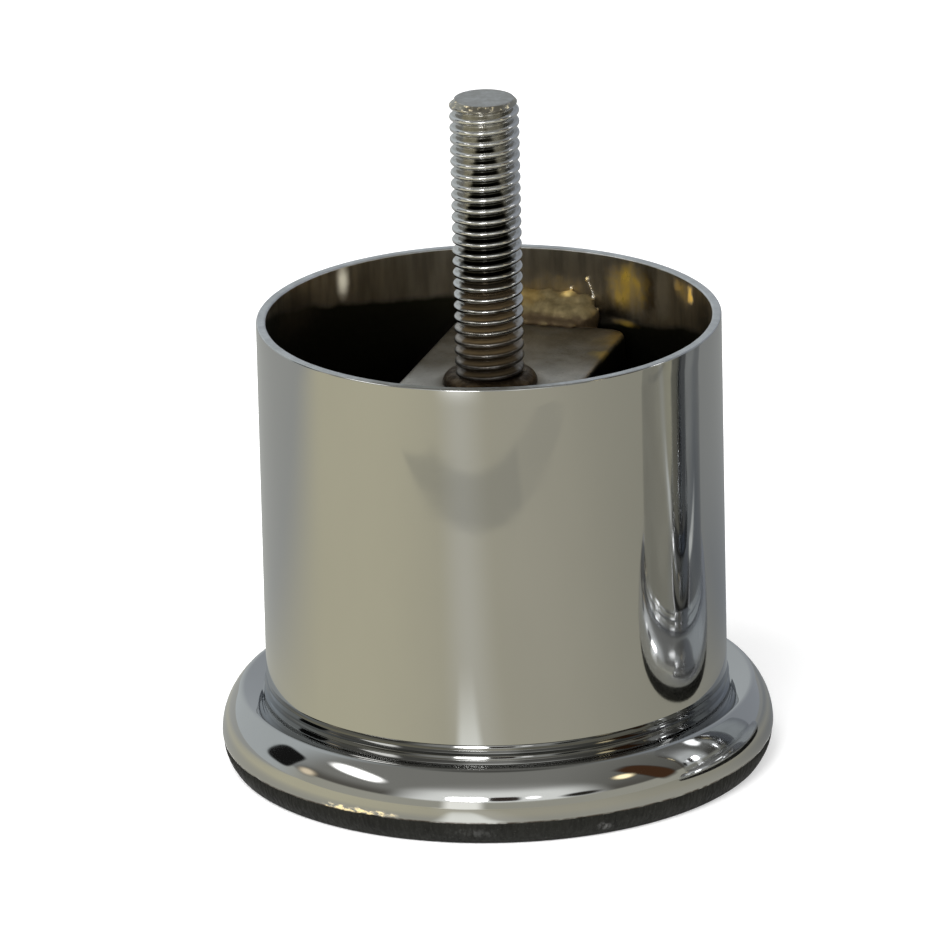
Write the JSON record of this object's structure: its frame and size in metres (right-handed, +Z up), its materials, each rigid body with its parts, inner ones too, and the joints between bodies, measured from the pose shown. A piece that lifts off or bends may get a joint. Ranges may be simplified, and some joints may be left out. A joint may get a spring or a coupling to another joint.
{
  "type": "metal furniture leg",
  "caption": "Round chrome furniture leg: open tube on a flanged foot with a dark pad, cross bar and upright threaded stud.",
  "frame": {"origin": "middle of the pad's underside, where it meets the floor", "axes": "+Z up the tube and the stud, +Y along the cross bar towards its rear weld, +X across the bar"},
  "size_m": [0.076, 0.076, 0.094],
  "materials": {
    "chrome_plate": "bright chrome plate over steel",
    "pad_rubber": "dull dark rubber",
    "bar_steel": "satin plated steel",
    "stud_steel": "plated steel thread",
    "weld_metal": "rough weld with a yellow brown stain"
  },
  "bodies": {
    "root": {"leg_tube": "chrome_plate", "base_flange": "chrome_plate", "foot_pad": "pad_rubber", "cross_bar": "bar_steel", "mounting_stud": "stud_steel", "stud_braze_ring": "bar_steel", "weld_bead_rear": "weld_metal", "weld_bead_front": "weld_metal"}
  },
  "joints": []
}
